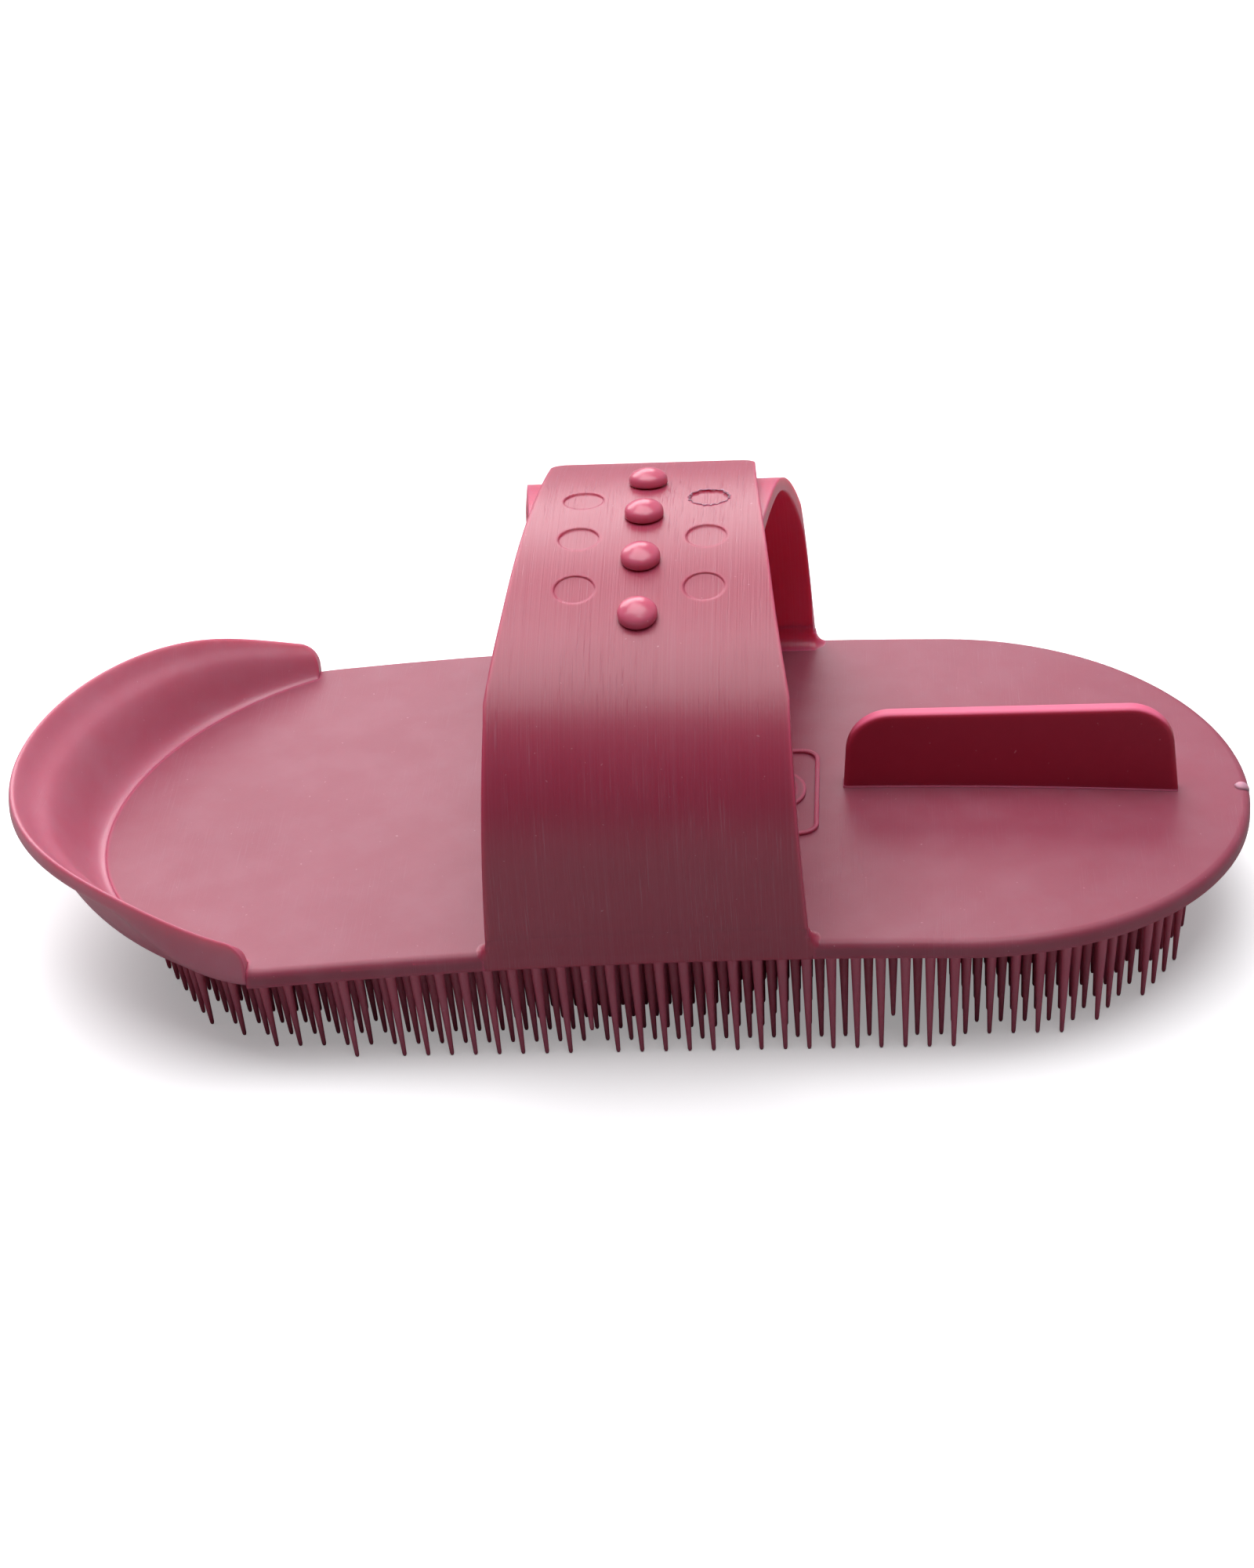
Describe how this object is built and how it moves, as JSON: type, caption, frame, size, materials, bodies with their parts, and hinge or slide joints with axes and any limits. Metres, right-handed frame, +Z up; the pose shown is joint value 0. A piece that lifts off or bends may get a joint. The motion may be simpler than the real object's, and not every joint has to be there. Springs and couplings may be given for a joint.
{
  "type": "curry comb",
  "caption": "Soft plastic horse curry comb: arched oval plate with a curled lip, finger fin, dense cone teeth and a hand loop of two straps buttoned together.",
  "frame": {"origin": "bottom centre of the bounding box, on the plane of the tooth tips", "axes": "+X along the length towards the finger fin (the curled lip is at -X), +Z up out of the back plate through the hand loop, -Y the side the upper strap grows from"},
  "size_m": [0.1908, 0.0927, 0.07],
  "materials": {
    "pink_plastic": "satin, slightly translucent"
  },
  "bodies": {
    "comb": {"back_plate": "pink_plastic", "curled_lip": "pink_plastic", "finger_fin": "pink_plastic", "badge_frame": "pink_plastic", "badge_horseshoe": "pink_plastic", "gate_mark": "pink_plastic", "support_teeth": "pink_plastic", "teeth_row_01": "pink_plastic", "teeth_row_02": "pink_plastic", "teeth_row_03": "pink_plastic", "teeth_row_04": "pink_plastic", "teeth_row_05": "pink_plastic", "teeth_row_06": "pink_plastic", "teeth_row_07": "pink_plastic", "teeth_row_08": "pink_plastic", "teeth_row_09": "pink_plastic", "teeth_row_10": "pink_plastic", "teeth_row_11": "pink_plastic", "teeth_row_12": "pink_plastic", "teeth_row_13": "pink_plastic", "teeth_row_14": "pink_plastic", "teeth_row_15": "pink_plastic", "teeth_row_16": "pink_plastic", "teeth_row_17": "pink_plastic", "teeth_row_18": "pink_plastic", "teeth_row_19": "pink_plastic", "teeth_row_20": "pink_plastic", "teeth_row_21": "pink_plastic", "teeth_row_22": "pink_plastic", "teeth_row_23": "pink_plastic", "teeth_row_24": "pink_plastic", "teeth_row_25": "pink_plastic", "teeth_row_26": "pink_plastic", "teeth_row_27": "pink_plastic", "teeth_row_28": "pink_plastic"},
    "upper_strap": {"near_strap": "pink_plastic"},
    "lower_strap": {"far_strap": "pink_plastic", "stud_1": "pink_plastic", "stud_2": "pink_plastic", "stud_3": "pink_plastic", "stud_4": "pink_plastic"}
  },
  "joints": [
    {"name": "upper_strap_hinge", "type": "hinge", "parent": "comb", "child": "upper_strap", "pos_m": [0.0054, -0.0445, 0.0195], "axis": [1, 0, 0], "range_deg": [0, 75], "deforming": ["stud_1", "stud_2", "stud_3", "stud_4"]},
    {"name": "lower_strap_hinge", "type": "hinge", "parent": "comb", "child": "lower_strap", "pos_m": [0.0054, 0.0445, 0.0195], "axis": [-1, 0, 0], "range_deg": [0, 45]}
  ],
  "couplings": [
    {"joint": "lower_strap_hinge", "follows": "upper_strap_hinge", "ratio": 0.55}
  ]
}
